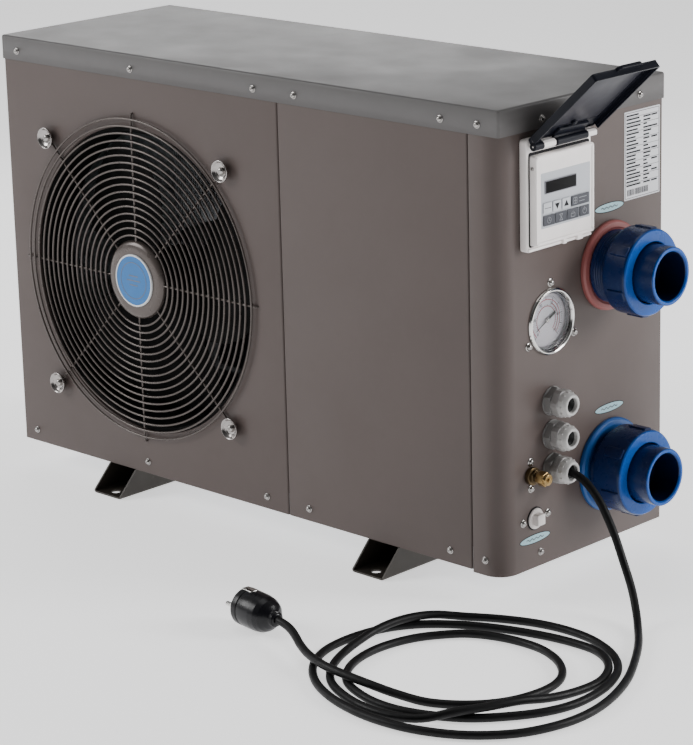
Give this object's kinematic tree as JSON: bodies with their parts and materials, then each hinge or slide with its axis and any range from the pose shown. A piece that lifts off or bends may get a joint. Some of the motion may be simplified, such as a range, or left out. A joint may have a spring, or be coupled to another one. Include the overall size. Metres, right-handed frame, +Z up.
{
  "type": "swimming pool heat pump unit",
  "caption": "Free-standing pool heat pump: sheet-metal cabinet with axial fan and guard, side controller with flip cover, gauge, water unions, glands and mains cord.",
  "frame": {"origin": "on the floor, under the centre of the unit's bounding box without its cord and plug", "axes": "+Z up, -Y is the fan side, +X is the side with the water unions and the controller"},
  "size_m": [0.9946, 0.5882, 0.5505],
  "materials": {
    "casing_taupe": "taupe powder coat, fine texture, semi-matt",
    "foot_rail_dark": "black-olive paint on folded steel",
    "galvanised_steel": "galvanised sheet",
    "black_plastic": "black moulded plastic, satin",
    "white_plastic": "white moulded plastic, satin",
    "key_white": "pale grey soft-touch key",
    "key_grey": "dark grey soft-touch key",
    "display_black": "black display window",
    "smoked_plastic": "smoked, nearly black clear plastic",
    "union_blue": "dark blue moulded plastic",
    "collar_red": "dusty red ring",
    "collar_blue": "blue ring",
    "chrome": "polished chrome",
    "dial_white": "white printed dial",
    "needle_black": "black lacquer",
    "gland_grey": "light grey nylon",
    "brass": "turned brass",
    "drain_white": "off-white moulded plastic",
    "badge_blue": "plain blue disc with a white rim",
    "aluminium_fins": "close aluminium fins",
    "copper": "drawn copper tube",
    "compressor_black": "black enamel on steel",
    "exchanger_grey": "dark grey plastic shell",
    "cord_rubber": "black rubber sheath"
  },
  "bodies": {
    "unit": {"base_tray": "galvanised_steel", "foot_rail_left": "foot_rail_dark", "foot_rail_right": "foot_rail_dark", "fan_panel": "casing_taupe", "service_panel": "casing_taupe", "side_panel": "casing_taupe", "top_cover": "casing_taupe", "rear_panel": "casing_taupe", "rear_guard": "casing_taupe", "left_panel": "casing_taupe", "partition_plate": "galvanised_steel", "fan_grille": "casing_taupe", "grille_hub_plate": "casing_taupe", "grille_badge": "badge_blue", "fan_shroud": "black_plastic", "fan_motor": "galvanised_steel", "motor_bracket": "galvanised_steel", "evaporator_coil": "aluminium_fins", "compressor": "compressor_black", "accumulator": "compressor_black", "heat_exchanger": "exchanger_grey", "reversing_valve": "brass", "discharge_pipe": "copper", "suction_pipe": "copper", "electric_box": "galvanised_steel", "controller_housing": "white_plastic", "controller_faceplate": "white_plastic", "display_window": "display_black", "gauge_case": "chrome", "gauge_dial": "dial_white", "gland_body_1": "gland_grey", "gland_body_2": "gland_grey", "gland_body_3": "gland_grey", "service_valve": "brass", "union_collar_upper": "collar_red", "union_collar_lower": "collar_blue", "union_body_upper": "union_blue", "union_body_lower": "union_blue", "power_cord": "cord_rubber", "mains_plug": "black_plastic"},
    "rotor": {"fan_rotor": "black_plastic"},
    "cover": {"flip_cover": "smoked_plastic"},
    "needle": {"gauge_needle": "needle_black"},
    "upper_tail": {"union_tail_upper": "union_blue"},
    "upper_nut": {"union_nut_upper": "union_blue"},
    "lower_tail": {"union_tail_lower": "union_blue"},
    "lower_nut": {"union_nut_lower": "union_blue"},
    "gland_nut_a": {"gland_nut_1": "gland_grey"},
    "gland_nut_b": {"gland_nut_2": "gland_grey"},
    "gland_nut_c": {"gland_nut_3": "gland_grey"},
    "cap": {"valve_cap": "brass"},
    "drain": {"drain_plug": "drain_white"},
    "button_mode": {"key_mode": "key_white"},
    "button_down": {"key_down": "key_white"},
    "button_up": {"key_up": "key_white"},
    "button_set": {"key_set": "key_grey"},
    "button_clock": {"key_clock": "key_grey"},
    "button_timer": {"key_timer": "key_grey"},
    "button_lock": {"key_lock": "key_grey"},
    "button_power": {"key_power": "key_grey"}
  },
  "joints": [
    {"name": "fan_spin", "type": "hinge", "parent": "unit", "child": "rotor", "pos_m": [-0.20385, -0.084, 0.2533], "axis": [0, 1, 0], "continuous": true},
    {"name": "cover_hinge", "type": "hinge", "parent": "unit", "child": "cover", "pos_m": [0.33905, -0.049, 0.4685], "axis": [0, 1, 0], "range_deg": [0, 132.3]},
    {"name": "needle_pivot", "type": "hinge", "parent": "unit", "child": "needle", "pos_m": [0.31685, -0.051, 0.2815], "axis": [-1, 0, 0], "range_deg": [-18, 252], "stiffness_Nm_per_rad": 0.001},
    {"name": "upper_tail_slide", "type": "slide", "parent": "unit", "child": "upper_tail", "axis": [1, 0, 0], "range_m": [0, 0.012]},
    {"name": "upper_nut_turn", "type": "hinge", "parent": "upper_tail", "child": "upper_nut", "pos_m": [0.35995, 0.0412, 0.3215], "axis": [1, 0, 0], "range_deg": [0, 1440]},
    {"name": "lower_tail_slide", "type": "slide", "parent": "unit", "child": "lower_tail", "axis": [1, 0, 0], "range_m": [0, 0.012]},
    {"name": "lower_nut_turn", "type": "hinge", "parent": "lower_tail", "child": "lower_nut", "pos_m": [0.35395, 0.0412, 0.1086], "axis": [1, 0, 0], "range_deg": [0, 1440]},
    {"name": "gland_nut_a_turn", "type": "hinge", "parent": "unit", "child": "gland_nut_a", "pos_m": [0.34205, -0.0505, 0.1983], "axis": [1, 0, 0], "range_deg": [-90, 1080]},
    {"name": "gland_nut_b_turn", "type": "hinge", "parent": "unit", "child": "gland_nut_b", "pos_m": [0.34205, -0.0505, 0.163], "axis": [1, 0, 0], "range_deg": [-90, 1080]},
    {"name": "gland_nut_c_turn", "type": "hinge", "parent": "unit", "child": "gland_nut_c", "pos_m": [0.34205, -0.0505, 0.1277], "axis": [1, 0, 0], "range_deg": [-90, 1080]},
    {"name": "cap_turn", "type": "hinge", "parent": "unit", "child": "cap", "pos_m": [0.34005, -0.084, 0.1272], "axis": [1, 0, 0], "range_deg": [0, 1440]},
    {"name": "drain_turn", "type": "hinge", "parent": "unit", "child": "drain", "pos_m": [0.32605, -0.0775, 0.0799], "axis": [1, 0, 0], "range_deg": [0, 1440]},
    {"name": "key_mode_press", "type": "slide", "parent": "unit", "child": "button_mode", "axis": [-1, 0, 0], "range_m": [0, 0.0005], "stiffness_N_per_m": 1500},
    {"name": "key_down_press", "type": "slide", "parent": "unit", "child": "button_down", "axis": [-1, 0, 0], "range_m": [0, 0.0005], "stiffness_N_per_m": 1500},
    {"name": "key_up_press", "type": "slide", "parent": "unit", "child": "button_up", "axis": [-1, 0, 0], "range_m": [0, 0.0005], "stiffness_N_per_m": 1500},
    {"name": "key_set_press", "type": "slide", "parent": "unit", "child": "button_set", "axis": [-1, 0, 0], "range_m": [0, 0.0005], "stiffness_N_per_m": 1500},
    {"name": "key_clock_press", "type": "slide", "parent": "unit", "child": "button_clock", "axis": [-1, 0, 0], "range_m": [0, 0.0005], "stiffness_N_per_m": 1500},
    {"name": "key_timer_press", "type": "slide", "parent": "unit", "child": "button_timer", "axis": [-1, 0, 0], "range_m": [0, 0.0005], "stiffness_N_per_m": 1500},
    {"name": "key_lock_press", "type": "slide", "parent": "unit", "child": "button_lock", "axis": [-1, 0, 0], "range_m": [0, 0.0005], "stiffness_N_per_m": 1500},
    {"name": "key_power_press", "type": "slide", "parent": "unit", "child": "button_power", "axis": [-1, 0, 0], "range_m": [0, 0.0005], "stiffness_N_per_m": 1500}
  ],
  "couplings": [
    {"joint": "upper_tail_slide", "follows": "upper_nut_turn", "m_per_rad": 0.00047746},
    {"joint": "lower_tail_slide", "follows": "lower_nut_turn", "m_per_rad": 0.00047746}
  ]
}
